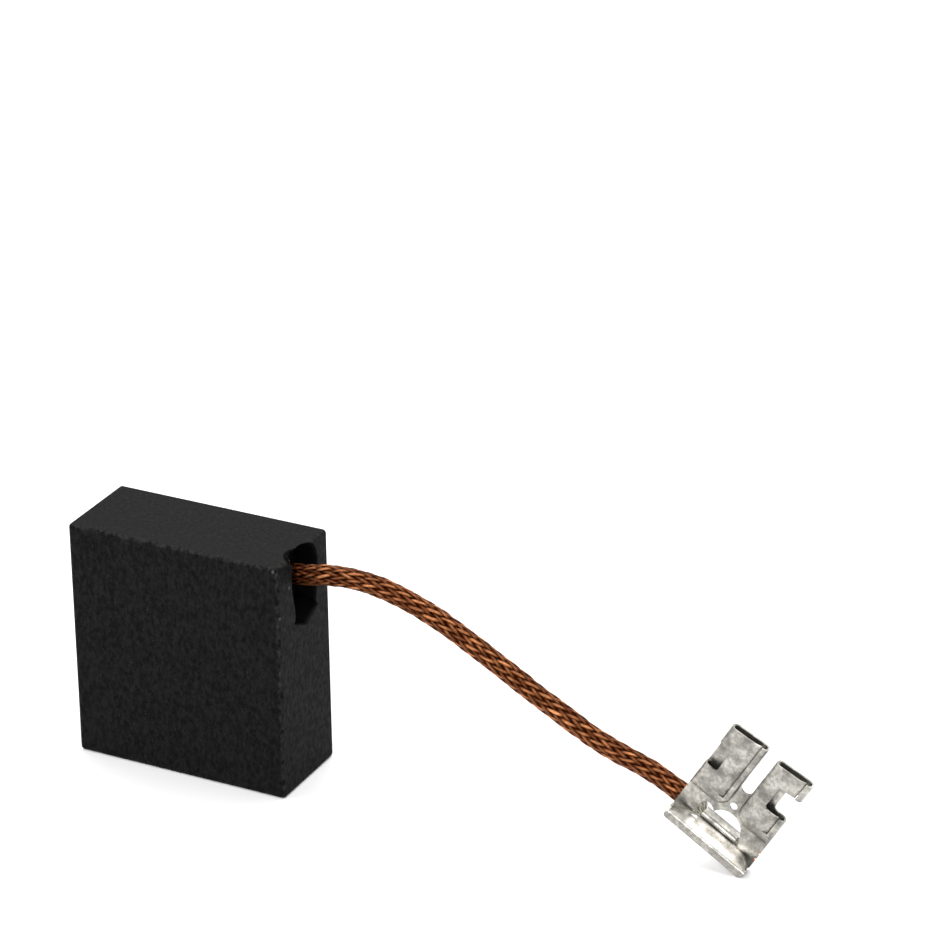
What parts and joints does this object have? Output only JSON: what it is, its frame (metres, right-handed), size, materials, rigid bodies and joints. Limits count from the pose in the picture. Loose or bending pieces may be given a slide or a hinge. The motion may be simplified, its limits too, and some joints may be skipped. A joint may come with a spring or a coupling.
{
  "type": "carbon brush",
  "caption": "Rectangular carbon motor brush with a braided copper shunt in a relief pocket and a twin flag receptacle crimped on its end.",
  "frame": {"origin": "centre of the block's contact face, on the surface that the brush stands on", "axes": "+Z from the contact face to the top of the block, +X towards the narrow face that the shunt leaves from, +Y towards the back face"},
  "size_m": [0.1444, 0.019, 0.0476],
  "materials": {
    "electrographite": "matte ground electrographite with fine grain and pale specks",
    "tamped_powder": "compacted copper powder, matt",
    "copper_braid": "bare copper strands, roped and braided",
    "tinned_brass": "tin-plated brass strip with sheared edges"
  },
  "bodies": {
    "root": {"carbon_block": "electrographite", "tamped_plug": "tamped_powder", "shunt": "copper_braid", "flag_terminal": "tinned_brass"}
  },
  "joints": []
}
